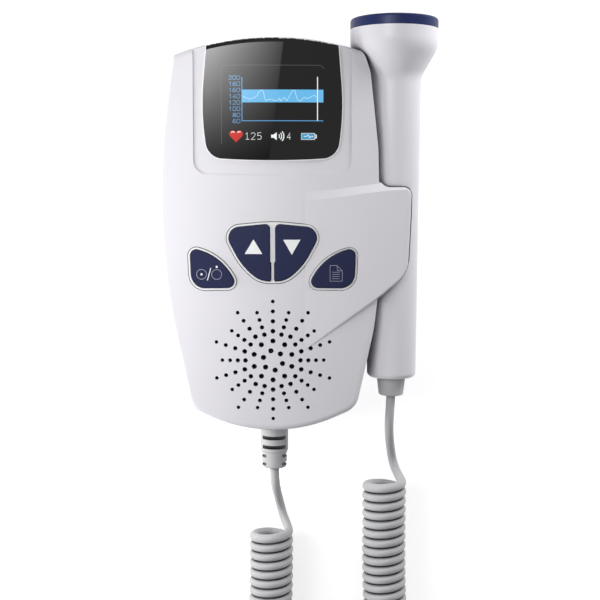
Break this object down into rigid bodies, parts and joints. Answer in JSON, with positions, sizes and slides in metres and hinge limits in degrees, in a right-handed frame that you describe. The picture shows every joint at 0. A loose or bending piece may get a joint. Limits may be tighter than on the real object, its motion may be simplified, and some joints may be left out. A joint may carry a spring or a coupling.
{
  "type": "fetal doppler monitor",
  "caption": "Hand-held fetal doppler: crowned case with a colour display, keys and a speaker grille, and a corded ultrasound probe held in a clip on its side.",
  "frame": {"origin": "on the case's flat back face, on the middle of the case's width, and about 1 mm from the middle of its length", "axes": "+X to the right of the keys, towards the probe; +Y towards the display end; +Z out of the front"},
  "size_m": [0.1047, 0.3472, 0.035],
  "materials": {
    "case_white": "satin",
    "probe_white": "satin",
    "window_black": "gloss",
    "trim_pale": "satin",
    "key_navy": "satin",
    "cap_navy": "satin",
    "board_green": "satin",
    "part_black": "satin",
    "screen_dark": "gloss",
    "foam_black": "matte",
    "battery_wrap": "gloss",
    "speaker_metal": "satin",
    "screw_steel": "satin",
    "cord_grey": "satin",
    "crystal_tan": "satin"
  },
  "bodies": {
    "unit": {"front_cover": "case_white", "back_cover": "case_white", "display_window": "window_black", "trim_left": "trim_pale", "trim_centre": "trim_pale", "trim_right": "trim_pale", "main_board": "board_green", "display_frame": "part_black", "display_module": "screen_dark", "display_gasket": "foam_black", "tact_switches": "part_black", "battery_pack": "battery_wrap", "earphone_jack": "part_black", "speaker_frame": "speaker_metal", "speaker_cone": "part_black", "speaker_magnet": "speaker_metal", "speaker_gasket": "foam_black", "case_screws": "screw_steel", "cable_relief": "cord_grey", "cord_lead_unit": "cord_grey", "cord_lead_probe": "cord_grey", "cord_curl": "cord_grey"},
    "probe": {"probe_front_shell": "probe_white", "probe_back_shell": "probe_white", "probe_cap": "cap_navy", "probe_collar": "cord_grey", "probe_board": "board_green", "transducer_backing": "part_black", "piezo_crystals": "crystal_tan"},
    "door": {"battery_door": "case_white"},
    "key_power": {"button_power": "key_navy"},
    "key_up": {"button_up": "key_navy"},
    "key_down": {"button_down": "key_navy"},
    "key_record": {"button_record": "key_navy"}
  },
  "joints": [
    {"name": "probe_slide", "type": "slide", "parent": "unit", "child": "probe", "axis": [0, 1, 0], "range_m": [0, 0.085]},
    {"name": "door_slide", "type": "slide", "parent": "unit", "child": "door", "axis": [0, -1, 0], "range_m": [0, 0.038]},
    {"name": "power_press", "type": "slide", "parent": "unit", "child": "key_power", "axis": [0, 0, -1], "range_m": [0, 0.0008], "stiffness_N_per_m": 1500},
    {"name": "up_press", "type": "slide", "parent": "unit", "child": "key_up", "axis": [0, 0, -1], "range_m": [0, 0.0008], "stiffness_N_per_m": 1500},
    {"name": "down_press", "type": "slide", "parent": "unit", "child": "key_down", "axis": [0, 0, -1], "range_m": [0, 0.0008], "stiffness_N_per_m": 1500},
    {"name": "record_press", "type": "slide", "parent": "unit", "child": "key_record", "axis": [0, 0, -1], "range_m": [0, 0.0008], "stiffness_N_per_m": 1500}
  ]
}
